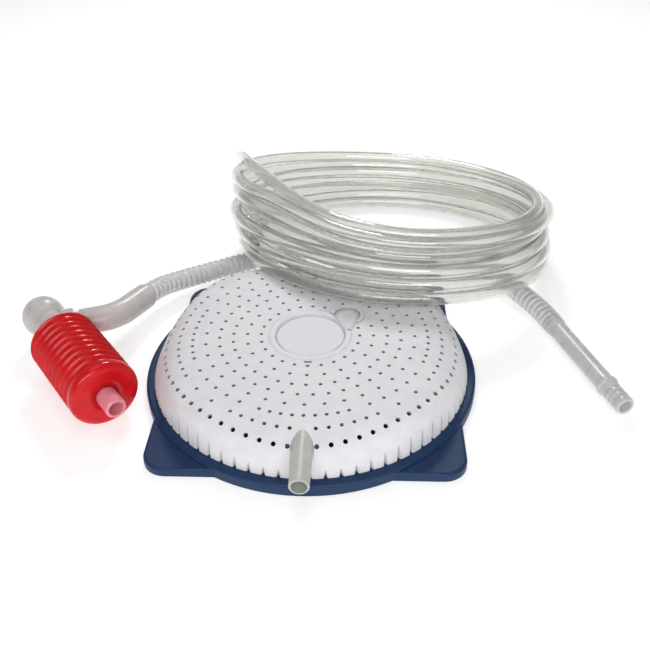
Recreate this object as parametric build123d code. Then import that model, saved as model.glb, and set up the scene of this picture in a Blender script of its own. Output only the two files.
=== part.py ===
from build123d import *
from math import atan2, cos, degrees, hypot, pi, radians, sin, tan
import os

# Pool-cover siphon drainer: perforated strainer on a weighted base, a coil of clear
# hose lying on it, and a red bellows priming pump with a corrugated discharge hose.
# Millimetres. Origin at the centre of the base's underside, +Z up, -Y is the front,
# where the outlet pipe is. Angles round the strainer are measured from the front.

BOTTOM = (Align.CENTER, Align.CENTER, Align.MIN)

# ---- base ----
DISC_R = 150.0
DISC_TOP = 11.0
EAR_HALF = 132.0
EAR_CORNER_R = 20.0
EAR_TOP = 8.0
EDGE_ROUND = 2.6
TRAY_R = 133.0
TRAY_FLOOR = 3.0
RIB_COUNT = 8
RIB_INNER_R = 99.0
LUG_COUNT = 8
LUG_ANGLE = 12.0
BALLAST_OUTER_R = 96.0
BALLAST_INNER_R = 56.0
BALLAST_THICK = 5.0
POST_CIRCLE_R = 76.0
POST_R = 3.6
SCREW_SHANK_R = 1.5
SCREW_HEAD_R = 4.4
SCREW_HEAD_H = 2.2

# ---- strainer cover ----
# height, radius towards the four sides, radius towards the four ears
COVER_LEVELS = [
    (11.2, 142.5, 142.5),
    (17.0, 140.7, 142.3),
    (24.0, 137.4, 141.4),
    (31.0, 132.8, 140.0),
    (37.0, 126.3, 137.6),
    (41.7, 117.0, 133.2),
    (44.1, 105.0, 126.0),
    (45.0, 94.0, 116.0),
]
COVER_TOP = 45.0
WALL = 2.5
SECTION_POINTS = 32
PANEL_COUNT = 72
PANEL_ANGLE = 360.0 / PANEL_COUNT
BIG_HOLE_R = 1.95
SMALL_HOLE_R = 1.6
EMBLEM_R = 37.6
EMBLEM_FLOOR_R = 30.3
EMBLEM_RISE = 0.9
EMBLEM_FLOOR = 43.0
SPOON = Vector(32.5, 31.0)
SPOON_R = 12.3
SPOON_RIM = 3.3
SPOON_FLOOR = 43.3
DRAIN = Vector(34.7, 9.6)
DRAIN_HOLE_R = 1.7

# ---- outlet pipe, lying along -Y ----
PIPE_Z = 32.0
PIPE_MOUTH_Y = -170.0
PIPE_ROOT_R = 9.1
PIPE_MOUTH_R = 8.0
HOSE_SOCKET_R = 6.4
HOSE_SOCKET_DEPTH = 20.0
PIPE_BORE_R = 5.4
PIPE_SPIGOT_R = 6.5
PIPE_SHOULDER_AT = 101.0
PIPE_SPIGOT_END = 90.0
BOSS_FACE_AT = 111.0
CLIP_GROOVE_R = 7.5
SEAL_AT = 117.0
SEAL_GROOVE_R = 7.9
ELBOW_R = 7.9
ELBOW_BORE_R = 6.6

# ---- priming pump, lying on the floor at the left ----
PUMP_REAR = Vector(-229.9, 5.2, 31.0)
PUMP_HEADING = -51.5
BELLOWS_R = 30.9
BELLOWS_ROOT_R = 28.9
BELLOWS_LENGTH = 98.0
BELLOWS_WALL = 1.6
CREST_COUNT = 10
CREST_PITCH = 8.6
FIRST_CREST = 4.0
FRONT_FACE_R = 24.5
NECK_R = 14.0
NECK_LENGTH = 2.8
SPIGOT_R = 9.0
SPIGOT_REACH = 20.0
VALVE_STEM = 3.4
TEE_AT = -24.5
BULB_AT = -47.0
BULB_R = 19.8
HOUSING_R = 14.0
HOUSING_WALL = 2.2
ARM_HEADING = 20.0
ARM_R = 11.0
ARM_BORE_R = 8.8
ARM_LENGTH = 40.0
ARM_COLLAR_R = 15.2
CUFF_R = 12.6
CUFF_START = 26.0
CUFF_BEND_R = 34.0
CUFF_CORNER_AT = 60.0
CUFF_END = Vector(-171.0, 86.0, 26.5)
CUFF_SOCKET_DEPTH = 8.5
VALVE_HOLES = 6

# ---- hoses ----
DISCHARGE_R = 10.5
DISCHARGE_ROUTE = [
    (-174.2, 78.7, 27.3),
    (-163.2, 104.0, 24.5),
    (-150.0, 122.0, 19.5),
    (-131.0, 141.5, 15.2),
    (-104.0, 163.0, 12.2),
    (-71.0, 183.0, 10.8),
    (-30.0, 202.0, 10.6),
    (15.0, 213.0, 10.6),
    (62.0, 217.0, 10.6),
    (108.0, 211.0, 10.6),
    (146.0, 195.0, 10.6),
    (176.0, 171.0, 10.6),
    (200.0, 141.0, 10.6),
    (217.5, 110.0, 10.6),
    (228.0, 88.0, 10.6),
    (233.5, 71.0, 10.6),
]
END_FITTING_LENGTH = 129.0
HOSE_R = 6.35
COIL_CENTRE = Vector(73.0, 208.5, 53.3)
COIL_HALF_LENGTH = 162.0
COIL_HALF_DEPTH = 139.0
COIL_HALF_WIDTH = 14.5
COIL_HALF_HEIGHT = 28.0
COIL_LEAN = 0.66
COIL_FALL_RIGHT = 0.04
COIL_FALL_BACK = 0.17
TAIL_ROUTE = [
    (26.0, 106.0, 101.0),
    (4.0, 125.0, 101.0),
    (-20.0, 152.0, 100.4),
    (-43.0, 189.0, 98.6),
    (-63.0, 226.0, 95.0),
    (-81.0, 260.0, 90.8),
    (-95.0, 287.0, 88.5),
]


def from_front(radius, angle, z=0.0):
    """Point at an angle measured from the front (-Y), anticlockwise from above."""
    turn = radians(angle - 90)
    return Vector(radius * cos(turn), radius * sin(turn), z)


def washer(outer_r, inner_r, thick, z):
    disc = Cylinder(outer_r, thick, align=BOTTOM) - Cylinder(inner_r, thick, align=BOTTOM)
    return Pos(0, 0, z) * disc


def turned(profile):
    """Solid of revolution about X of a closed outline of (along, radius) points."""
    outline = make_face(Polyline(*profile, close=True))
    return revolve(outline, axis=Axis.X)


def tube_along(start, heading):
    """Location whose X axis points along a heading in the floor plane."""
    x_dir = (cos(radians(heading)), sin(radians(heading)), 0)
    return Plane(origin=start, x_dir=x_dir, z_dir=(0, 0, 1)).location


# ---------------------------------------------------------------- base
def base_plate():
    ears = extrude(RectangleRounded(2 * EAR_HALF, 2 * EAR_HALF, EAR_CORNER_R), EAR_TOP)
    ears = fillet(ears.edges().group_by(Axis.Z)[-1], EDGE_ROUND)
    disc = Cylinder(DISC_R, DISC_TOP, align=BOTTOM)
    disc = fillet(disc.edges().group_by(Axis.Z)[-1], EDGE_ROUND)
    plate = ears + disc
    plate -= Pos(0, 0, TRAY_FLOOR) * Cylinder(TRAY_R, DISC_TOP, align=BOTTOM)
    rib_length = TRAY_R - RIB_INNER_R + 1
    rib = Pos(RIB_INNER_R + rib_length / 2, 0, 0) * Box(rib_length, 2.4, 7.0, align=BOTTOM)
    for i in range(RIB_COUNT):
        plate += Rot(0, 0, (i + 0.5) * 360 / RIB_COUNT) * rib
    lug_ring = washer(TRAY_R + 3.6, TRAY_R + 0.8, 4.0, DISC_TOP - 0.5)
    lug_width = 2 * TRAY_R * tan(radians(LUG_ANGLE / 2))
    lug = lug_ring & Pos(TRAY_R, 0, 0) * Box(20, lug_width, 60)
    for i in range(LUG_COUNT):
        plate += Rot(0, 0, (i + 0.5) * 360 / LUG_COUNT) * lug
    post = Cylinder(POST_R, BALLAST_THICK, align=BOTTOM)
    pilot = Cylinder(SCREW_SHANK_R + 0.03, BALLAST_THICK + 0.5, align=BOTTOM)
    for spot in post_spots():
        plate += Pos(spot.X, spot.Y, TRAY_FLOOR) * post
    for spot in post_spots():
        plate -= Pos(spot.X, spot.Y, TRAY_FLOOR - 0.4) * pilot
    return plate


def post_spots():
    return [from_front(POST_CIRCLE_R, 45 + 90 * i) for i in range(4)]


def ballast_ring():
    ring = washer(BALLAST_OUTER_R, BALLAST_INNER_R, BALLAST_THICK - 0.1, TRAY_FLOOR)
    for spot in post_spots():
        ring -= Pos(spot.X, spot.Y, 0) * Cylinder(POST_R + 0.3, 40)
    return ring


def ballast_screws():
    head_z = TRAY_FLOOR + BALLAST_THICK + 0.02
    head = Pos(0, 0, head_z) * Cylinder(SCREW_HEAD_R, SCREW_HEAD_H, align=BOTTOM)
    head = fillet(head.edges().group_by(Axis.Z)[-1], 1.0)
    slot_z = head_z + SCREW_HEAD_H
    head -= Pos(0, 0, slot_z) * Box(5.0, 1.1, 2.0)
    head -= Pos(0, 0, slot_z) * Box(1.1, 5.0, 2.0)
    shank = Pos(0, 0, TRAY_FLOOR) * Cylinder(SCREW_SHANK_R, BALLAST_THICK + 0.1, align=BOTTOM)
    screw = head + shank
    return Compound(children=[Pos(s.X, s.Y, 0) * copy_of(screw) for s in post_spots()])


def copy_of(shape):
    return Solid(shape.solids()[0].wrapped)


# ---------------------------------------------------------------- strainer cover
def ear_share(angle):
    """0 towards a side of the base, 1 towards an ear."""
    return (1 - cos(radians(4 * angle))) / 2


def section(z, side_r, ear_r):
    points = []
    for i in range(SECTION_POINTS):
        angle = 360 * i / SECTION_POINTS
        radius = side_r + (ear_r - side_r) * ear_share(angle)
        points.append(from_front(radius, angle, z))
    return make_face(Spline(*points, periodic=True))


def inner_levels():
    """The cover's inner surface: each level moved in by the wall, square to the profile."""
    levels = []
    last = len(COVER_LEVELS) - 1
    for i, (z, side_r, ear_r) in enumerate(COVER_LEVELS):
        z0, side0, ear0 = COVER_LEVELS[max(i - 1, 0)]
        z1, side1, ear1 = COVER_LEVELS[min(i + 1, last)]
        run = ((side0 + ear0) - (side1 + ear1)) / 2
        slope = hypot(z1 - z0, run)
        inward = WALL * (z1 - z0) / slope
        down = WALL * run / slope
        levels.append((z - down, side_r - inward, ear_r - inward))
    top_z, top_side, top_ear = levels[last]
    levels[last] = (COVER_TOP - WALL, top_side, top_ear)
    levels[0] = (levels[0][0] - 1.5, levels[0][1], levels[0][2])
    return levels


def cover_height(radius, angle):
    share = ear_share(angle)
    previous = None
    for z, side_r, ear_r in COVER_LEVELS:
        level_r = side_r + (ear_r - side_r) * share
        if radius >= level_r and previous:
            z0, r0 = previous
            return z0 + (z - z0) * (r0 - radius) / (r0 - level_r)
        previous = (z, level_r)
    return COVER_TOP


def four_sides(dense_half, between):
    """Angles of a ring that is dense round each side and sparse towards the ears."""
    angles = []
    for side in range(0, 360, 90):
        angles += [side + a for a in range(-dense_half, dense_half + 1, 5)]
        angles += [side + a for a in between]
    return angles


def even(count, phase=0.0):
    return [phase + 360.0 * i / count for i in range(count)]


def hole_rings():
    """Radius, hole radius and angles of each ring of strainer holes."""
    return [
        (130.0, BIG_HOLE_R, even(PANEL_COUNT)[1:]),
        (117.7, SMALL_HOLE_R, [a for a in four_sides(30, [40, 50]) if a != 0]),
        (105.2, SMALL_HOLE_R, four_sides(20, [30, 37.5, 45, 52.5, 60])),
        (93.3, SMALL_HOLE_R, even(36)),
        (81.2, SMALL_HOLE_R, even(40, 4.5)),
        (69.0, SMALL_HOLE_R, even(36)),
        (56.5, SMALL_HOLE_R, even(24)),
        (44.2, SMALL_HOLE_R, even(24)),
    ]


def strainer_hole(radius, hole_r, angle):
    """Drill set square to the cover where the hole is."""
    spot = from_front(radius, angle, cover_height(radius, angle))
    rise = cover_height(radius - 1.5, angle) - cover_height(radius + 1.5, angle)
    outward = from_front(rise, angle, 3.0)
    return Plane(origin=spot, z_dir=outward).location * Cylinder(hole_r, 9.0)


def strainer_holes():
    tools = []
    for radius, hole_r, angles in hole_rings():
        for angle in angles:
            spot = from_front(radius, angle)
            if (spot - SPOON).length > SPOON_R + SPOON_RIM + 2.5:
                tools.append(strainer_hole(radius, hole_r, angle))
    return tools


def v_cutter(start, end, depth, half_width):
    """Triangular prism whose sharp edge runs from start to end, (radius, z) at the front."""
    r0, z0 = start
    r1, z1 = end
    corners = [(0, -r0, z0), (half_width, -r0 - depth, z0), (-half_width, -r0 - depth, z0)]
    wedge = make_face(Polyline(*corners, close=True))
    return extrude(wedge, dir=(0, r0 - r1, z1 - z0), amount=hypot(r1 - r0, z1 - z0))


def skirt_cutters():
    """A drain notch and a fading groove between neighbouring skirt panels."""
    notch = v_cutter((138.2, 10.5), (142.6, 17.5), 8.0, 3.4)
    groove = v_cutter((140.5, 11.0), (139.7, 35.0), 6.0, 6.6)
    tools = []
    for i in range(PANEL_COUNT):
        turn = Rot(0, 0, (i + 0.5) * PANEL_ANGLE)
        tools += [turn * notch, turn * groove]
    return tools


def spoon_outline(grow):
    bowl = Pos(SPOON.X, SPOON.Y) * Circle(SPOON_R + grow)
    tip = Pos(DRAIN.X, DRAIN.Y) * Circle(3.4 + grow)
    return make_hull(bowl.edges() + tip.edges())


def strainer_cover():
    cover = loft([section(*level) for level in COVER_LEVELS])
    rim_top = COVER_TOP + EMBLEM_RISE
    rim = [(0, 40.0), (EMBLEM_R, 40.0), (EMBLEM_R, COVER_TOP), (EMBLEM_R - 1.4, rim_top)]
    rim += [(EMBLEM_FLOOR_R + 1.8, rim_top), (EMBLEM_FLOOR_R, EMBLEM_FLOOR), (0, EMBLEM_FLOOR)]
    spoon_rim = Pos(SPOON.X, SPOON.Y, 40.0) * Cylinder(SPOON_R + SPOON_RIM, 5.8, align=BOTTOM)
    cover += spoon_rim
    cover -= Pos(0, 0, 40.0) * Cylinder(EMBLEM_R, 10.0, align=BOTTOM)
    cover += revolve(make_face(Polyline(*[(r, 0, z) for r, z in rim], close=True)), axis=Axis.Z)
    cover -= Pos(0, 0, SPOON_FLOOR) * extrude(spoon_outline(0), 8.0)

    hollow = loft([section(*level) for level in inner_levels()])
    hollow -= Pos(0, 0, 40.2) * Cylinder(EMBLEM_R, 10.0, align=BOTTOM)
    hollow -= Pos(0, 0, 40.6) * extrude(spoon_outline(2.5), 8.0)
    boss = Pos(0, -BOSS_FACE_AT - 15, PIPE_Z) * Rot(90, 0, 0) * Cylinder(13.0, 30.0)
    hollow -= boss
    cover -= hollow

    front_bore = Pos(0, -BOSS_FACE_AT - 20, PIPE_Z) * Rot(90, 0, 0) * Cylinder(PIPE_ROOT_R + 0.1, 60.0)
    drain = Pos(DRAIN.X, DRAIN.Y, 40.0) * Cylinder(DRAIN_HOLE_R, 20.0)
    slot = Pos(0, -EMBLEM_R - 1.4, 44.0) * Box(6.4, 2.2, 10.0)
    cover = cover.cut(front_bore, drain, slot, *strainer_holes(), *skirt_cutters())
    return cover


def badge_disc():
    disc = Cylinder(EMBLEM_FLOOR_R - 0.6, 0.7, align=BOTTOM)
    disc = Pos(0, 0, EMBLEM_FLOOR) * disc
    return disc - Pos(0, 0, SPOON_FLOOR - 5) * extrude(spoon_outline(0.4), 12.0)


# ---------------------------------------------------------------- outlet pipe
def on_pipe(shape):
    return tube_along((0, 0, PIPE_Z), -90) * shape


def outlet_pipe():
    mouth = -PIPE_MOUTH_Y
    outer = [(PIPE_SPIGOT_END, PIPE_SPIGOT_R), (PIPE_SHOULDER_AT, PIPE_SPIGOT_R), (PIPE_SHOULDER_AT, 8.7)]
    outer += [(BOSS_FACE_AT - 2.1, 8.7), (BOSS_FACE_AT - 2.1, CLIP_GROOVE_R), (BOSS_FACE_AT, CLIP_GROOVE_R)]
    outer += [(BOSS_FACE_AT, PIPE_ROOT_R), (SEAL_AT - 0.8, PIPE_ROOT_R), (SEAL_AT - 0.8, SEAL_GROOVE_R)]
    outer += [(SEAL_AT + 0.8, SEAL_GROOVE_R), (SEAL_AT + 0.8, PIPE_ROOT_R), (122.0, PIPE_ROOT_R)]
    outer += [(mouth - 0.8, PIPE_MOUTH_R), (mouth, PIPE_MOUTH_R - 0.6)]
    step = mouth - HOSE_SOCKET_DEPTH
    inner = [(mouth, HOSE_SOCKET_R), (step, HOSE_SOCKET_R), (step, PIPE_BORE_R)]
    inner += [(PIPE_SPIGOT_END, PIPE_BORE_R)]
    return on_pipe(turned(outer + inner))


def pipe_seal():
    """O-ring between the pipe and the bore in the cover's boss."""
    ring = Pos(SEAL_AT, 0, 0) * Rot(0, 90, 0) * Torus(8.54, 0.6)
    return on_pipe(ring)


def pipe_clip():
    """Horseshoe clip, open at the top, that holds the pipe against the boss."""
    start = BOSS_FACE_AT - 2.0
    bore_r = CLIP_GROOVE_R + 0.1
    ring = turned([(start, bore_r), (start, 11.6), (start + 1.9, 11.6), (start + 1.9, bore_r)])
    ring -= Pos(start, 0, 12) * Box(20, 2 * CLIP_GROOVE_R, 24)
    ring -= Pos(start, 0, 16) * Box(20, 40, 20)
    return on_pipe(ring)


def suction_elbow():
    start = Vector(0, 0.3 - PIPE_SHOULDER_AT, PIPE_Z)
    path = FilletPolyline(start, (0, 0, PIPE_Z), (0, 0, 9.0), radius=20.0)
    ring = Plane(origin=start, z_dir=(0, 1, 0)) * (Circle(ELBOW_R) - Circle(ELBOW_BORE_R))
    return sweep(ring, path=path)


def suction_foot():
    """Flared foot with drain slots that holds the intake just above the tray floor."""
    collar_r = ELBOW_R + 0.1
    profile = [(collar_r, 11.8), (10.0, 11.8), (10.0, 10.5), (24.0, 5.6), (24.0, 4.0)]
    profile += [(22.0, 4.0), (collar_r, 8.8)]
    foot = revolve(make_face(Polyline(*[(r, 0, z) for r, z in profile], close=True)), axis=Axis.Z)
    slot = Pos(23.5, 0, 4.0) * Box(9.0, 3.0, 2.2, align=BOTTOM)
    return foot.cut(*[Rot(0, 0, 30 * i) * slot for i in range(12)])


# ---------------------------------------------------------------- priming pump
def on_pump(shape):
    return tube_along(PUMP_REAR, PUMP_HEADING) * shape


def pump_point(along):
    turn = radians(PUMP_HEADING)
    return PUMP_REAR + Vector(cos(turn), sin(turn), 0) * along


def bellows():
    mid = (BELLOWS_R + BELLOWS_ROOT_R) / 2
    swing = (BELLOWS_R - BELLOWS_ROOT_R) / 2
    outer = [(-NECK_LENGTH, NECK_R), (0, NECK_R), (0, 26.5), (1.2, 29.0)]
    steps = 4 * (CREST_COUNT - 1)
    for i in range(steps + 1):
        along = FIRST_CREST + CREST_PITCH * i / 4
        outer.append((along, mid + swing * cos(pi * i / 2)))
    outer += [(BELLOWS_LENGTH - 8.0, BELLOWS_R), (BELLOWS_LENGTH, FRONT_FACE_R)]
    outer += [(BELLOWS_LENGTH, SPIGOT_R + 0.1)]
    front = BELLOWS_LENGTH - BELLOWS_WALL
    neck_bore = NECK_R - BELLOWS_WALL
    inner = [(front, SPIGOT_R + 0.1), (front, FRONT_FACE_R - 1.0)]
    inner += [(a, r - BELLOWS_WALL) for a, r in reversed(outer[4:-3])]
    inner += [(BELLOWS_WALL, 26.0), (BELLOWS_WALL, neck_bore), (-NECK_LENGTH, neck_bore)]
    return on_pump(turned(outer + inner))


def intake_spigot():
    flange = BELLOWS_LENGTH - BELLOWS_WALL - 0.1
    mouth = BELLOWS_LENGTH + SPIGOT_REACH
    outer = [(86, SPIGOT_R), (flange - 2.4, SPIGOT_R), (flange - 2.4, 14.0), (flange, 14.0)]
    outer += [(flange, SPIGOT_R), (mouth - 0.8, SPIGOT_R), (mouth, SPIGOT_R - 0.8)]
    inner = [(mouth, HOSE_SOCKET_R), (100, HOSE_SOCKET_R), (100, 7.8), (86, 7.8)]
    return on_pump(turned(outer + inner))


def valve_plate(radius, thick):
    """Plate with a ring of flow holes and a guide hole, lying along +X from the origin."""
    plate = Cylinder(radius, thick, align=BOTTOM) - Cylinder(1.5, 3 * thick)
    hole = Pos(radius * 0.62, 0, 0) * Cylinder(radius * 0.2, 3 * thick)
    plate = plate.cut(*[Rot(0, 0, 60 * i) * hole for i in range(VALVE_HOLES)])
    return Rot(0, 90, 0) * plate


def mushroom(radius):
    """Valve disc whose face is at x = 0 and whose guide stem points along +X."""
    cap = [(-1.5, 0), (-1.5, radius * 0.5), (-0.6, radius), (0, radius)]
    return turned(cap + [(0, 1.44), (VALVE_STEM, 1.44), (VALVE_STEM, 0)])


def intake_valve_seat():
    return on_pump(Pos(96.5, 0, 0) * valve_plate(7.75, 3.4))


def intake_valve_disc():
    return on_pump(Pos(96.45, 0, 0) * mushroom(6.6))


def intake_retainer():
    ring = turned([(87.4, 5.0), (87.4, 7.75), (90.4, 7.75), (90.4, 5.0)])
    return on_pump(ring)


def neck_nut():
    """Ring inside the bellows that holds it on the housing's neck."""
    return on_pump(turned([(1.7, 12.3), (1.7, 18.0), (4.0, 18.0), (4.0, 12.3)]))


def arm_frame():
    return tube_along(pump_point(TEE_AT), ARM_HEADING)


def neck_and_bulb(neck, bulb_r):
    """Solid of revolution about X of a neck outline with the ball-shaped chamber behind it."""
    upper_half = Rectangle(2 * bulb_r, bulb_r, align=(Align.CENTER, Align.MIN))
    bulb = Pos(BULB_AT, 0) * (Circle(bulb_r) & upper_half)
    outline = make_face(Polyline(*neck, close=True)) + bulb
    return Rot(-90, 0, 0) * revolve(outline, axis=Axis.X)


def valve_housing():
    neck_end = -NECK_LENGTH - 0.1
    neck = [(5, 0), (5, 12.2), (neck_end, 12.2), (neck_end, HOUSING_R)]
    neck += [(BULB_AT, HOUSING_R), (BULB_AT, 0)]
    shell = on_pump(neck_and_bulb(neck, BULB_R))
    arm = [(0, 0), (0, ARM_R), (9.0, ARM_R), (10.0, ARM_COLLAR_R), (21.0, ARM_COLLAR_R)]
    arm += [(22.0, ARM_R), (ARM_LENGTH, ARM_R), (ARM_LENGTH, 0)]
    shell += arm_frame() * Rot(-90, 0, 0) * turned(arm)
    core_r = HOUSING_R - HOUSING_WALL
    core = [(6, 0), (6, 9.8), (-10.0, 9.8), (-11.5, core_r), (BULB_AT, core_r), (BULB_AT, 0)]
    hollow = on_pump(neck_and_bulb(core, BULB_R - HOUSING_WALL))
    bore = turned([(0, 0), (0, ARM_BORE_R), (ARM_LENGTH + 1, ARM_BORE_R), (ARM_LENGTH + 1, 0)])
    return shell - hollow - arm_frame() * Rot(-90, 0, 0) * bore


def outlet_valve_seat():
    return arm_frame() * (Pos(19.0, 0, 0) * valve_plate(ARM_BORE_R - 0.05, 3.0))


def outlet_valve_disc():
    return arm_frame() * (Pos(22.05, 0, 0) * Rot(0, 0, 180) * mushroom(7.4))


def outlet_retainer():
    ring = turned([(29.0, 5.6), (29.0, ARM_BORE_R - 0.05), (32.0, ARM_BORE_R - 0.05), (32.0, 5.6)])
    return arm_frame() * ring


def hose_cuff():
    heading = radians(ARM_HEADING)
    tee = pump_point(TEE_AT)
    direction = Vector(cos(heading), sin(heading), 0)
    start = tee + direction * CUFF_START
    corner = tee + direction * CUFF_CORNER_AT
    path = FilletPolyline(start, corner, CUFF_END, radius=CUFF_BEND_R)
    across = Plane(origin=start, z_dir=direction)
    cuff = sweep(across * Circle(CUFF_R), path=path)
    bore = sweep(across * Circle(ARM_BORE_R), path=path)
    arm_socket = arm_frame() * Pos(CUFF_START - 1, 0, 0) * Rot(0, 90, 0)
    arm_socket = arm_socket * Cylinder(ARM_R + 0.03, ARM_LENGTH - CUFF_START + 1.2, align=BOTTOM)
    mouth = Plane(origin=CUFF_END, z_dir=corner - CUFF_END)
    hose_socket = mouth * Cylinder(DISCHARGE_R + 0.05, CUFF_SOCKET_DEPTH, align=BOTTOM)
    return cuff - bore - arm_socket - hose_socket


# ---------------------------------------------------------------- hoses
def turn_radii(route):
    """Arc radius at each inner point: 0.45 of the shorter run over tan(half the turn)."""
    points = [Vector(*p) for p in route]
    radii = []
    for before, here, after in zip(points, points[1:], points[2:]):
        incoming, outgoing = here - before, after - here
        shorter = min(incoming.length, outgoing.length)
        half_turn = radians(incoming.get_angle(outgoing)) / 2
        radii.append(0.45 * shorter / tan(half_turn))
    return radii


def hose_tube(name, route, radius):
    radii = turn_radii(route)
    path = FilletPolyline(*route, radius=radii)
    first_run = Vector(*route[1]) - Vector(*route[0])
    tube = sweep(Plane(origin=route[0], z_dir=first_run) * Circle(radius), path=path)
    plain_volume = pi * radius**2 * path.length
    print(name, "length", round(path.length, 1), "volume ratio", round(tube.volume / plain_volume, 4))
    print("   radii", [round(r) for r in radii])
    return tube


def discharge_hose():
    return hose_tube("discharge hose", DISCHARGE_ROUTE, DISCHARGE_R)


def hose_end_fitting():
    start = Vector(*DISCHARGE_ROUTE[-1])
    run = start - Vector(*DISCHARGE_ROUTE[-2])
    outer = [(0.05, 9.6), (6.0, 9.6), (8.0, 8.6), (14.0, 8.6), (19.0, 7.8), (97.0, 7.6), (97.6, 10.0)]
    outer += [(101.4, 10.0), (102.0, 8.6)]
    for i in range(3):
        outer += [(108.0 + 6 * i, 8.6), (108.0 + 6 * i, 7.9), (109.6 + 6 * i, 8.6)]
    outer += [(END_FITTING_LENGTH - 1.0, 8.6), (END_FITTING_LENGTH, 7.6)]
    inner = [(END_FITTING_LENGTH, 5.6), (0.05, 5.6)]
    return tube_along(start, degrees(atan2(run.Y, run.X))) * turned(outer + inner)


def hose_coil():
    """Outer shape of the loose turns of clear hose: the pile leans back and sags to the floor."""
    pile = Plane.XZ * (Pos(COIL_HALF_DEPTH, 0) * Ellipse(COIL_HALF_WIDTH, COIL_HALF_HEIGHT))
    ring = revolve(pile, axis=Axis.Z)
    stretch = COIL_HALF_LENGTH / COIL_HALF_DEPTH
    lean = Matrix(
        [
            [stretch, 0, 0, COIL_CENTRE.X],
            [0, 1, COIL_LEAN, COIL_CENTRE.Y],
            [-COIL_FALL_RIGHT, -COIL_FALL_BACK, 1, COIL_CENTRE.Z],
        ]
    )
    return ring.transform_geometry(lean)


def hose_tail():
    return hose_tube("clear hose tail", TAIL_ROUTE, HOSE_R)


PARTS = {
    "base_plate": base_plate,
    "ballast_ring": ballast_ring,
    "ballast_screws": ballast_screws,
    "strainer_cover": strainer_cover,
    "badge_disc": badge_disc,
    "outlet_pipe": outlet_pipe,
    "pipe_seal": pipe_seal,
    "pipe_clip": pipe_clip,
    "suction_elbow": suction_elbow,
    "suction_foot": suction_foot,
    "bellows": bellows,
    "intake_spigot": intake_spigot,
    "intake_valve_seat": intake_valve_seat,
    "intake_valve_disc": intake_valve_disc,
    "intake_retainer": intake_retainer,
    "neck_nut": neck_nut,
    "valve_housing": valve_housing,
    "outlet_valve_seat": outlet_valve_seat,
    "outlet_valve_disc": outlet_valve_disc,
    "outlet_retainer": outlet_retainer,
    "hose_cuff": hose_cuff,
    "discharge_hose": discharge_hose,
    "hose_end_fitting": hose_end_fitting,
    "hose_coil": hose_coil,
    "hose_tail": hose_tail,
}

os.makedirs("parts", exist_ok=True)
for node, make in PARTS.items():
    export_step(make(), f"parts/{node}.step")
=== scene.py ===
from bisect import bisect
from math import atan2, cos, degrees, exp, pi, radians, sin

import bmesh
import bpy
from mathutils import Matrix, Vector
from mathutils.geometry import intersect_point_line


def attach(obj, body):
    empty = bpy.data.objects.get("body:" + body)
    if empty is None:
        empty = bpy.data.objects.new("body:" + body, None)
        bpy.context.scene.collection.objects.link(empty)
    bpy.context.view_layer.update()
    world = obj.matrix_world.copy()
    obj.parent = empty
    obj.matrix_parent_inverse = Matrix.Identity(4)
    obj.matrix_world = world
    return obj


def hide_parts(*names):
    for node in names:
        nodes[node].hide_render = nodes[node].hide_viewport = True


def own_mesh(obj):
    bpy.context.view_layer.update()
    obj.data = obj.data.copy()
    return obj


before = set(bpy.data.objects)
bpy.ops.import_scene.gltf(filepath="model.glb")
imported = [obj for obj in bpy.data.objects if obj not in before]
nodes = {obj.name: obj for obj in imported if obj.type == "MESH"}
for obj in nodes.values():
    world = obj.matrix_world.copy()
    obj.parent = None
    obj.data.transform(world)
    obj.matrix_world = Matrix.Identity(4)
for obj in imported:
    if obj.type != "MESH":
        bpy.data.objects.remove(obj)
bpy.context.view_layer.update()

MM = 0.001

# ------------------------------------------------------------------ camera
CAMERA_PLACE = (0.03933, -0.57206, 0.47520)
CAMERA_YAW = 0.04557
CAMERA_DOWN = 0.63196
CAMERA_ROLL = 0.014107
CAMERA_LENS = 44.21


def make_camera():
    """Camera from its place and its turns: yaw about Z, then down, then roll about its view line."""
    turn = Matrix.Rotation(CAMERA_YAW, 3, "Z") @ Matrix.Rotation(-CAMERA_DOWN, 3, "X")
    turn = turn @ Matrix.Rotation(CAMERA_ROLL, 3, "Y")
    right, forward, up = turn.col
    axes = Matrix((right, up, -forward)).transposed()
    data = bpy.data.cameras.new("camera")
    data.lens = CAMERA_LENS
    data.sensor_width = 36.0
    data.clip_start = 0.01
    camera = bpy.data.objects.new("camera", data)
    camera.matrix_world = Matrix.Translation(CAMERA_PLACE) @ axes.to_4x4()
    bpy.context.scene.collection.objects.link(camera)
    bpy.context.scene.camera = camera


make_camera()

# ------------------------------------------------------------------ cords
HOSE_R = 6.35
HOSE_BORE_R = 4.6
HOSE_SIDES = 20
# Rounding of the hose's cut end.
HOSE_EDGE_LENGTH = 0.6
HOSE_EDGE_OUTSIDE = 0.4
HOSE_EDGE_INSIDE = 0.3
TURNS = 7
TURN_POINTS = 18
DISCHARGE_ROUTE = [
    (-174.2, 78.7, 27.3),
    (-163.2, 104.0, 24.5),
    (-150.0, 122.0, 19.5),
    (-131.0, 141.5, 15.2),
    (-104.0, 163.0, 12.2),
    (-71.0, 183.0, 10.8),
    (-30.0, 202.0, 10.6),
    (15.0, 213.0, 10.6),
    (62.0, 217.0, 10.6),
    (108.0, 211.0, 10.6),
    (146.0, 195.0, 10.6),
    (176.0, 171.0, 10.6),
    (200.0, 141.0, 10.6),
    (217.5, 110.0, 10.6),
    (228.0, 88.0, 10.6),
    (233.5, 71.0, 10.6),
]
TAIL_ROUTE = [
    (26.0, 106.0, 101.0),
    (4.0, 125.0, 101.0),
    (-20.0, 152.0, 100.4),
    (-43.0, 189.0, 98.6),
    (-63.0, 226.0, 95.0),
    (-81.0, 260.0, 90.8),
    (-95.0, 287.0, 88.5),
]


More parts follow.
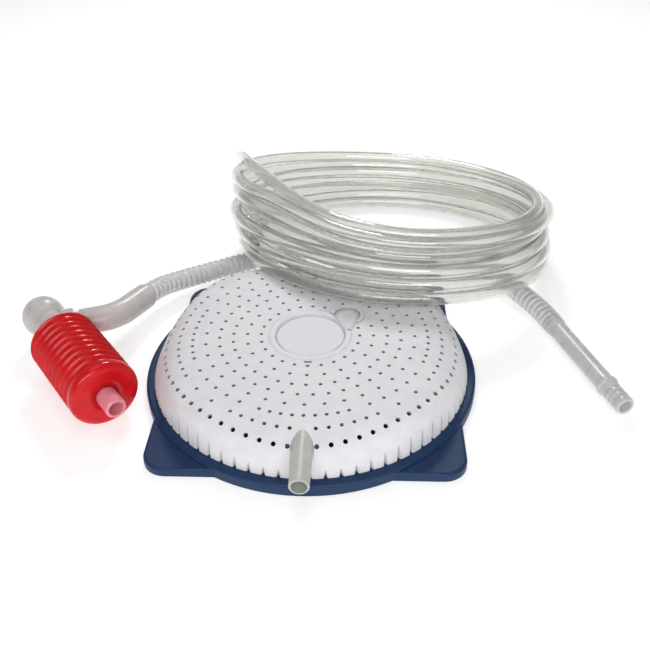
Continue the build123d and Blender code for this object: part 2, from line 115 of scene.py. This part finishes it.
def nurbs_curve(name, points, steps):
    """Curve object of one open NURBS spline with millimetre control points."""
    data = bpy.data.curves.new(name, "CURVE")
    data.dimensions = "3D"
    data.resolution_u = steps
    spline = data.splines.new("NURBS")
    spline.points.add(len(points) - 1)
    for knot, place in zip(spline.points, points):
        knot.co = (place[0] * MM, place[1] * MM, place[2] * MM, 1.0)
    spline.order_u = 3
    spline.use_endpoint_u = True
    curve = bpy.data.objects.new(name, data)
    bpy.context.scene.collection.objects.link(curve)
    return curve


def centreline(curve):
    """Points along a curve that has no bevel. The curve is removed."""
    bpy.context.view_layer.update()
    mesh = bpy.data.meshes.new_from_object(curve)
    points = [v.co.copy() for v in mesh.vertices]
    bpy.data.meshes.remove(mesh)
    bpy.data.objects.remove(curve)
    return points


# The loose turns, one row for each time the hose passes the front: how far it lies outside
# the pile's middle line, how far above it, how far the next turn is drawn in at the left
# front where the turns fan out, how far at the left end, and how far it stands out at the right.
PILE = [
    (-9.0, -21.0, 0.0, 4.0, 0.0),
    (5.0, -22.0, 5.0, 9.0, 0.0),
    (6.0, -11.5, 10.0, 4.0, 0.0),
    (6.5, -3.0, 19.0, -3.0, 0.0),
    (-8.0, 2.0, 13.0, -2.0, 2.0),
    (7.0, 7.0, 33.0, 2.0, 0.0),
    (7.0, 16.0, 36.0, 2.0, 4.0),
    (-5.0, 20.6, 38.0, 0.0, 14.0),
]
FAN_ANGLE = radians(222)
FAN_SPREAD = radians(34)
LEFT_SPREAD = radians(40)
BULGE_ANGLE = radians(-25)
BULGE_SPREAD = radians(48)
LEFT_LIFT = 0.3
PILE_LOW = -22.0
FIRST_TURN = 0.2
COIL_CENTRE = (73.0, 208.5, 53.3)
COIL_HALF_LENGTH = 164.5
COIL_HALF_DEPTH = 141.0
COIL_END_ANGLE = radians(-86)
LEAN_BACK = 0.66
LEAN_LEFT = 0.22
FALL_RIGHT = 5.6
FALL_BACK = 23.6
DOME_TOP = 45.4
DOME_R = 116.0
FLOOR_GAP = 0.3
HOSE_GAP = 13.0
SETTLE_STEPS = 60
SETTLE_PUSH = 0.15
NEIGHBOURS = 12


def eased(turn, column):
    """Value of a column of the pile's table at a fractional turn."""
    low = min(int(turn), len(PILE) - 2)
    part = turn - low
    part = part * part * (3 - 2 * part)
    return PILE[low][column] * (1 - part) + PILE[low + 1][column] * part


def near(angle, middle, spread):
    """1 at the middle angle, falling to 0 away from it."""
    away = (angle - middle + pi) % (2 * pi) - pi
    return exp(-((away / spread) ** 2))


def loose_turn_point(turn):
    """Point of the pile at a fractional turn, counted from the bottom."""
    angle = COIL_END_ANGLE + 2 * pi * (TURNS - turn)
    out = eased(turn, 0)
    out -= eased(turn, 2) * near(angle, FAN_ANGLE, FAN_SPREAD)
    out -= eased(turn, 3) * near(angle, pi, LEFT_SPREAD)
    out += eased(turn, 4) * near(angle, BULGE_ANGLE, BULGE_SPREAD)
    up = eased(turn, 1)
    up += LEFT_LIFT * (up - PILE_LOW) * max(-cos(angle), 0) ** 2
    x = COIL_CENTRE[0] + (COIL_HALF_LENGTH + out) * cos(angle) - LEAN_LEFT * up
    y = COIL_CENTRE[1] + (COIL_HALF_DEPTH + out) * sin(angle) + LEAN_BACK * up
    z = COIL_CENTRE[2] - FALL_RIGHT * cos(angle) - FALL_BACK * sin(angle) + up
    return Vector((x, y, z))


def rest_height(place):
    """Lowest height for the hose's middle: on the strainer's top, or on the floor."""
    over_dome = Vector(place[:2]).length < DOME_R
    return HOSE_R + (DOME_TOP if over_dome else FLOOR_GAP)


def settled(start, held):
    """Moves turns apart where they are in each other, smoothly along the hose. Its last points are held."""
    moves = [Vector() for _ in start]
    last = len(start) - 1
    for _ in range(SETTLE_STEPS):
        places = [p + m for p, m in zip(start, moves)]
        for i, place in enumerate(places):
            for j in range(last):
                if abs(i - j) < NEIGHBOURS:
                    continue
                spot, part = intersect_point_line(place, places[j], places[j + 1])
                between = spot - place
                short = HOSE_GAP - between.length
                if short > 0 and 0 <= part <= 1:
                    push = between.normalized() * short * SETTLE_PUSH
                    moves[i] -= push
                    moves[j] += push * (1 - part)
                    moves[j + 1] += push * part
        moves = [
            (moves[max(i - 1, 0)] + 2 * moves[i] + moves[min(i + 1, last)]) / 4 for i in range(len(moves))
        ]
        for place, move in zip(start, moves):
            low = rest_height(place + move) - (place.z + move.z)
            move.z += max(low, 0)
        for i in range(len(start) - held, len(start)):
            moves[i] = Vector()
    return [p + m for p, m in zip(start, moves)]


def clear_hose_route():
    """Control points of the clear hose in mm, from the bottom of the pile to the free end."""
    first = round(FIRST_TURN * TURN_POINTS)
    turns = [loose_turn_point(i / TURN_POINTS) for i in range(first, TURNS * TURN_POINTS + 1)]
    return settled(turns + [Vector(p) for p in TAIL_ROUTE], len(TAIL_ROUTE))


# ------------------------------------------------------------------ mesh helpers
def new_piece(name, mesh, *slots):
    """Smooth-shaded object of a bmesh, with its materials."""
    mesh.normal_update()
    data = bpy.data.meshes.new(name)
    mesh.to_mesh(data)
    mesh.free()
    for face in data.polygons:
        face.use_smooth = True
    piece = bpy.data.objects.new(name, data)
    bpy.context.scene.collection.objects.link(piece)
    for item in slots:
        data.materials.append(item)
    return piece


def frames_along(path):
    """Direction and a sideways axis at each point of a path, with no twist between them."""
    last = len(path) - 1
    ahead = [(path[min(i + 1, last)] - path[max(i - 1, 0)]).normalized() for i in range(last + 1)]
    across = []
    axis = ahead[0].orthogonal()
    for direction in ahead:
        axis = (axis - direction * axis.dot(direction)).normalized()
        across.append(axis)
    return ahead, across


def distances_along(path):
    """Length of the path up to each of its points."""
    total = [0.0]
    for a, b in zip(path, path[1:]):
        total.append(total[-1] + (b - a).length)
    return total


def swept(name, path, profile, sides, *slots):
    """Hollow tube around a path. Its profile is a loop of pairs: distance along the path, radius."""
    ahead, across = frames_along(path)
    reach = distances_along(path)
    mesh = bmesh.new()
    rings = []
    for distance, radius in profile:
        i = min(max(bisect(reach, distance) - 1, 0), len(path) - 2)
        part = (distance - reach[i]) / (reach[i + 1] - reach[i])
        centre = path[i].lerp(path[i + 1], part)
        forward = ahead[i].lerp(ahead[i + 1], part).normalized()
        side = across[i].lerp(across[i + 1], part)
        side = (side - forward * side.dot(forward)).normalized()
        top = forward.cross(side)
        ring = []
        for k in range(sides):
            turn = 2 * pi * k / sides
            ring.append(mesh.verts.new(centre + (side * cos(turn) + top * sin(turn)) * radius))
        rings.append(ring)
    for a, b in zip(rings, rings[1:] + rings[:1]):
        for k in range(sides):
            n = (k + 1) % sides
            mesh.faces.new((a[k], a[n], b[n], b[k]))
    return new_piece(name, mesh, *slots)


def spun(name, profile, place, heading, sides, *slots):
    """Surface of revolution: profile is pairs of distance along the axis and radius, in mm."""
    turn = Matrix.Rotation(radians(heading), 4, "Z")
    put = Matrix.Translation(Vector(place) * MM) @ turn
    mesh = bmesh.new()
    rings = []
    for along, radius in profile:
        ring = []
        for k in range(sides):
            angle = 2 * pi * k / sides
            spot = Vector((along, radius * cos(angle), radius * sin(angle))) * MM
            ring.append(mesh.verts.new(put @ spot))
        rings.append(ring)
    for a, b in zip(rings, rings[1:]):
        for k in range(sides):
            n = (k + 1) % sides
            mesh.faces.new((a[k], a[n], b[n], b[k]))
    bmesh.ops.recalc_face_normals(mesh, faces=mesh.faces)
    return new_piece(name, mesh, *slots)


# ------------------------------------------------------------------ materials
def finish_material(name, dark, light, rough, grain, mottle_size=0.012, crevice=0.0, **sockets):
    """Moulded plastic: a slow drift between two colours, uneven gloss, and a fine grain.

    rough is the range of the roughness, and grain is the size and depth of the surface's grain.
    Holes and notches narrower than the crevice size get painted shade: ambient occlusion darkens the base
    colour there.
    """
    made = bpy.data.materials.new(name)
    made.use_nodes = True
    tree = made.node_tree
    shader = tree.nodes["Principled BSDF"]
    place = tree.nodes.new("ShaderNodeTexCoord")
    drift = tree.nodes.new("ShaderNodeTexNoise")
    drift.inputs["Scale"].default_value = 1 / mottle_size
    drift.inputs["Detail"].default_value = 3.0
    colours = tree.nodes.new("ShaderNodeValToRGB")
    colours.color_ramp.elements[0].position = 0.3
    colours.color_ramp.elements[1].position = 0.7
    colours.color_ramp.elements[0].color = (*dark, 1)
    colours.color_ramp.elements[1].color = (*light, 1)
    speckle = tree.nodes.new("ShaderNodeTexNoise")
    speckle.inputs["Scale"].default_value = 1 / grain[0]
    speckle.inputs["Detail"].default_value = 2.0
    gloss = tree.nodes.new("ShaderNodeMapRange")
    gloss.inputs["From Min"].default_value = 0.25
    gloss.inputs["From Max"].default_value = 0.75
    gloss.inputs["To Min"].default_value = rough[0]
    gloss.inputs["To Max"].default_value = rough[1]
    bump = tree.nodes.new("ShaderNodeBump")
    bump.inputs["Strength"].default_value = 1.0
    bump.inputs["Distance"].default_value = grain[1]
    link = tree.links.new
    link(place.outputs["Object"], drift.inputs["Vector"])
    link(place.outputs["Object"], speckle.inputs["Vector"])
    link(drift.outputs["Fac"], colours.inputs["Fac"])
    link(colours.outputs["Color"], shader.inputs["Base Color"])
    # Painted shade: the base colour is multiplied by ambient occlusion, so holes, notches and grooves are
    # drawn darker.
    if crevice:
        painted_crevice_shade = tree.nodes.new("ShaderNodeAmbientOcclusion")
        painted_crevice_shade.only_local = True
        painted_crevice_shade.samples = 8
        painted_crevice_shade.inputs["Distance"].default_value = crevice
        link(colours.outputs["Color"], painted_crevice_shade.inputs["Color"])
        link(painted_crevice_shade.outputs["Color"], shader.inputs["Base Color"])
    link(drift.outputs["Fac"], gloss.inputs["Value"])
    link(gloss.outputs["Result"], shader.inputs["Roughness"])
    link(speckle.outputs["Fac"], bump.inputs["Height"])
    link(bump.outputs["Normal"], shader.inputs["Normal"])
    for key, value in sockets.items():
        shader.inputs[key.replace("_", " ")].default_value = value
    return made


FINE_GRAIN = (0.0016, 0.00003)
navy = finish_material(
    "navy", (0.008, 0.030, 0.088), (0.011, 0.037, 0.103), (0.36, 0.5), (0.0011, 0.00006),
    Specular_IOR_Level=0.25,
)
# The dome's holes, notches and emblem recess get painted shade from ambient occlusion through crevice.
white = finish_material(
    "dome_white", (0.69, 0.68, 0.71), (0.76, 0.75, 0.775), (0.48, 0.6), (0.0016, 0.00005),
    crevice=0.005, Specular_IOR_Level=0.3,
)
badge = finish_material(
    "badge_white", (0.67, 0.665, 0.695), (0.72, 0.715, 0.745), (0.45, 0.55), (0.0014, 0.00004),
    Specular_IOR_Level=0.3,
)
grey = finish_material("pipe_grey", (0.44, 0.44, 0.42), (0.51, 0.51, 0.485), (0.3, 0.42), (0.0015, 0.00005))
red = finish_material(
    "bellows_red", (0.53, 0.004, 0.008), (0.65, 0.008, 0.012), (0.15, 0.25), (0.0018, 0.00003),
    Specular_IOR_Level=0.3, Subsurface_Weight=0.2, Subsurface_Radius=(1.0, 0.1, 0.08),
    Subsurface_Scale=0.004,
)
pink = finish_material(
    "spigot_pink", (0.72, 0.25, 0.31), (0.80, 0.31, 0.37), (0.24, 0.36), FINE_GRAIN,
    Subsurface_Weight=0.5, Subsurface_Radius=(1.0, 0.4, 0.4), Subsurface_Scale=0.004,
)
tip_clear = finish_material(
    "fitting_vinyl", (0.48, 0.48, 0.48), (0.56, 0.56, 0.56), (0.24, 0.34), FINE_GRAIN,
    Subsurface_Weight=0.4, Subsurface_Radius=(1.0, 1.0, 1.0), Subsurface_Scale=0.004,
)
smoky = finish_material(
    "smoky_vinyl", (0.51, 0.48, 0.47), (0.60, 0.57, 0.56), (0.26, 0.38), FINE_GRAIN,
    Subsurface_Weight=0.5, Subsurface_Radius=(1.0, 0.9, 0.9), Subsurface_Scale=0.005,
)
ribbed = finish_material(
    "ribbed_vinyl", (0.84, 0.835, 0.83), (0.90, 0.895, 0.89), (0.24, 0.34), FINE_GRAIN,
    Transmission_Weight=0.4, IOR=1.4,
)
clear = finish_material(
    "clear_vinyl", (0.905, 0.917, 0.883), (0.938, 0.946, 0.916), (0.02, 0.06), (0.0016, 0.00001),
    Transmission_Weight=0.93, IOR=1.5,
)
natural = finish_material(
    "natural_plastic", (0.66, 0.66, 0.62), (0.74, 0.74, 0.70), (0.4, 0.5), (0.0015, 0.00005)
)
rubber = finish_material(
    "black_rubber", (0.02, 0.02, 0.02), (0.035, 0.035, 0.035), (0.55, 0.7), (0.001, 0.00005)
)
zinc = finish_material(
    "zinc_steel", (0.52, 0.52, 0.5), (0.66, 0.66, 0.64), (0.25, 0.4), (0.0008, 0.00003), Metallic=1.0
)
coated = finish_material(
    "coated_steel", (0.04, 0.04, 0.045), (0.06, 0.06, 0.065), (0.35, 0.5), (0.0012, 0.00005)
)

FINISHES = {
    navy: ["base_plate"],
    white: ["strainer_cover"],
    badge: ["badge_disc"],
    grey: ["outlet_pipe", "suction_elbow", "suction_foot"],
    pink: ["intake_spigot"],
    smoky: ["valve_housing", "hose_cuff"],
    natural: ["intake_valve_seat", "intake_retainer", "neck_nut", "outlet_valve_seat", "outlet_retainer"],
    rubber: ["pipe_seal", "intake_valve_disc", "outlet_valve_disc"],
    zinc: ["ballast_screws", "pipe_clip"],
    coated: ["ballast_ring"],
}
for finish, names in FINISHES.items():
    for node_name in names:
        data = nodes[node_name].data
        data.materials.clear()
        data.materials.append(finish)

# ------------------------------------------------------------------ clear hose
hose_line = centreline(nurbs_curve("clear_hose_line", clear_hose_route(), steps=6))
hose_reach = distances_along(hose_line)
hose_length = hose_reach[-1]
hose_end = hose_length - HOSE_EDGE_LENGTH * MM
hose_profile = [(d, HOSE_R * MM) for d in hose_reach[:-1]]
hose_profile += [(hose_end, HOSE_R * MM), (hose_length, (HOSE_R - HOSE_EDGE_OUTSIDE) * MM)]
hose_profile += [(hose_length, (HOSE_BORE_R + HOSE_EDGE_INSIDE) * MM), (hose_end, HOSE_BORE_R * MM)]
hose_profile += [(d, HOSE_BORE_R * MM) for d in reversed(hose_reach[:-1])]
clear_hose = swept("clear_hose", hose_line, hose_profile, HOSE_SIDES, clear)
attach(clear_hose, "cover")
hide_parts("hose_coil", "hose_tail")

# ------------------------------------------------------------------ corrugated discharge hose
RIDGE_PITCH = 6.8
RIDGE_CORE_R = 9.2
RIDGE_BORE_R = 8.2
RIDGE_SIDES = 28
# One ridge: pairs of place along it, as a share of the pitch, and radius in mm.
RIDGE_PROFILE = [
    (-0.34, 8.9), (-0.27, 9.2), (-0.18, 10.2), (-0.08, 10.5),
    (0.08, 10.5), (0.18, 10.2), (0.27, 9.2), (0.34, 8.9),
]
ridge_line = centreline(nurbs_curve("discharge_line", DISCHARGE_ROUTE, steps=20))
ridge_length = distances_along(ridge_line)[-1]
ridge_count = round(ridge_length / MM / RIDGE_PITCH)
ridge_pitch = ridge_length / ridge_count
ridge_profile = [(0.0, RIDGE_CORE_R * MM)]
for n in range(ridge_count):
    middle = (n + 0.5) * ridge_pitch
    ridge_profile += [(middle + a * ridge_pitch, r * MM) for a, r in RIDGE_PROFILE]
ridge_profile.append((ridge_length, RIDGE_CORE_R * MM))
ridge_profile += [(d, RIDGE_BORE_R * MM) for d in reversed(distances_along(ridge_line))]
discharge = swept("corrugated_hose", ridge_line, ridge_profile, RIDGE_SIDES, ribbed)
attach(discharge, "base")
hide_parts("discharge_hose")

FITTING_PLACE = DISCHARGE_ROUTE[-1]
FITTING_FROM = DISCHARGE_ROUTE[-2]
FITTING_HEADING = degrees(atan2(FITTING_PLACE[1] - FITTING_FROM[1], FITTING_PLACE[0] - FITTING_FROM[0]))
FITTING_LENGTH = 129.0
FITTING_BORE_R = 5.9
FIRST_BARB = 108.0
BARB_PITCH = 6.0
FITTING_SIDES = 40
# Socket lips, the smooth tube, the stop ring, three barbs, and the open mouth.
fitting_outline = [(0.0, FITTING_BORE_R), (0.0, 9.8), (1.0, 10.2), (2.4, 10.3), (4.0, 9.8), (5.6, 9.2)]
fitting_outline += [(7.0, 9.9), (8.6, 9.9), (10.0, 9.1), (14.0, 8.95), (24.0, 8.85), (60.0, 8.8), (96.0, 8.7)]
fitting_outline += [(97.0, 8.9), (97.6, 9.7), (98.4, 10.0), (100.6, 10.0), (101.4, 9.6), (102.0, 8.6)]
for n in range(3):
    barb = FIRST_BARB + BARB_PITCH * n
    fitting_outline += [(barb - 0.8, 8.6), (barb, 8.4), (barb + 0.2, 7.9)]
    fitting_outline += [(barb + 0.9, 8.0), (barb + 1.6, 8.5)]
fitting_outline += [(FITTING_LENGTH - 1.6, 8.6), (FITTING_LENGTH - 0.6, 8.3), (FITTING_LENGTH, 7.6)]
fitting_outline += [(FITTING_LENGTH, 6.4), (FITTING_LENGTH - 0.5, FITTING_BORE_R), (0.0, FITTING_BORE_R)]
fitting = spun("end_fitting", fitting_outline, FITTING_PLACE, FITTING_HEADING, FITTING_SIDES, tip_clear)
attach(fitting, "base")
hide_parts("hose_end_fitting")

# ------------------------------------------------------------------ bellows
PUMP_REAR = (-229.9, 5.2, 31.0)
PUMP_HEADING = -51.5
BELLOWS_LENGTH = 98.0
CREST_COUNT = 10
CREST_PITCH = 8.6
FIRST_CREST = 4.0
CREST_R = 30.8
VALLEY_R = 28.6
SPIGOT_HOLE_R = 9.2
BELLOWS_SIDES = 96
# The rear neck and shoulder, the crests and valleys, and the smooth front band and face.
outline = [(-2.6, 13.0), (-2.6, 13.9), (0.1, 13.9), (0.1, 25.6), (0.5, 27.0), (1.4, 28.2)]
for n in range(CREST_COUNT):
    crest = FIRST_CREST + CREST_PITCH * n
    outline += [(crest - 1.5, VALLEY_R + 0.1), (crest - 0.7, CREST_R - 0.9), (crest - 0.35, CREST_R - 0.1)]
    outline += [(crest, CREST_R), (crest + 0.35, CREST_R - 0.1), (crest + 0.7, CREST_R - 0.9)]
    outline += [(crest + 1.5, VALLEY_R + 0.1), (crest + 2.8, VALLEY_R - 0.35), (crest + 4.3, VALLEY_R - 0.5)]
    outline.append((crest + 5.8, VALLEY_R - 0.35))
outline = outline[:-1]
outline += [(86.5, 29.2), (88.0, 30.4), (89.0, 30.75), (92.6, 30.75), (94.2, 30.4), (95.6, 29.6)]
outline += [(96.7, 28.4), (97.5, 26.8), (97.9, 25.0), (BELLOWS_LENGTH, 23.0), (BELLOWS_LENGTH, 16.0)]
outline += [(BELLOWS_LENGTH, SPIGOT_HOLE_R), (96.6, SPIGOT_HOLE_R)]
bellows = spun("bellows_skin", outline, PUMP_REAR, PUMP_HEADING, BELLOWS_SIDES, red)
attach(bellows, "base")
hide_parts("bellows")
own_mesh(bellows)

# ------------------------------------------------------------------ floor, light and finish
FLOOR_DROP = 0.0004
floor_mesh = bmesh.new()
bmesh.ops.create_grid(floor_mesh, x_segments=1, y_segments=1, size=12.0)
floor_finish = finish_material(
    "floor", (0.6, 0.6, 0.6), (0.61, 0.61, 0.61), (0.6, 0.7), (0.01, 0.00001), mottle_size=0.3,
    Emission_Color=(1, 1, 1, 1), Emission_Strength=0.55,
)
floor = new_piece("floor", floor_mesh, floor_finish)
floor.location.z = -FLOOR_DROP


def area_light(name, place, aim, size, power):
    """Rectangular lamp at a place in metres, turned towards its aim."""
    data = bpy.data.lights.new(name, "AREA")
    data.shape = "RECTANGLE"
    data.size, data.size_y = size
    data.energy = power
    lamp = bpy.data.objects.new(name, data)
    lamp.location = place
    lamp.rotation_euler = (Vector(aim) - Vector(place)).to_track_quat("-Z", "Y").to_euler()
    bpy.context.scene.collection.objects.link(lamp)


area_light("back", (-0.03, 1.2, 1.15), aim=(0, 0.1, 0), size=(0.34, 0.26), power=10)
area_light("top", (-0.1, 0.0, 1.7), aim=(0, 0.05, 0), size=(0.8, 0.8), power=3.5)
area_light("front", (0.15, -1.4, 0.9), aim=(0, 0, 0), size=(1.4, 0.7), power=15.5)


def pale_room():
    """Plain walls, pale where they meet the floor and greyer overhead."""
    world = bpy.data.worlds.new("studio")
    world.use_nodes = True
    tree = world.node_tree
    direction = tree.nodes.new("ShaderNodeTexCoord")
    height = tree.nodes.new("ShaderNodeSeparateXYZ")
    wall = tree.nodes.new("ShaderNodeMapRange")
    wall.inputs["From Min"].default_value = 0.02
    wall.inputs["From Max"].default_value = 0.3
    wall.inputs["To Min"].default_value = 0.77
    wall.inputs["To Max"].default_value = 0.27
    backdrop = tree.nodes["Background"]
    backdrop.inputs["Color"].default_value = (1, 1, 1, 1)
    tree.links.new(direction.outputs["Generated"], height.inputs["Vector"])
    tree.links.new(height.outputs["Z"], wall.inputs["Value"])
    tree.links.new(wall.outputs["Result"], backdrop.inputs["Strength"])
    bpy.context.scene.world = world


pale_room()
bpy.context.scene.view_settings.view_transform = "Standard"
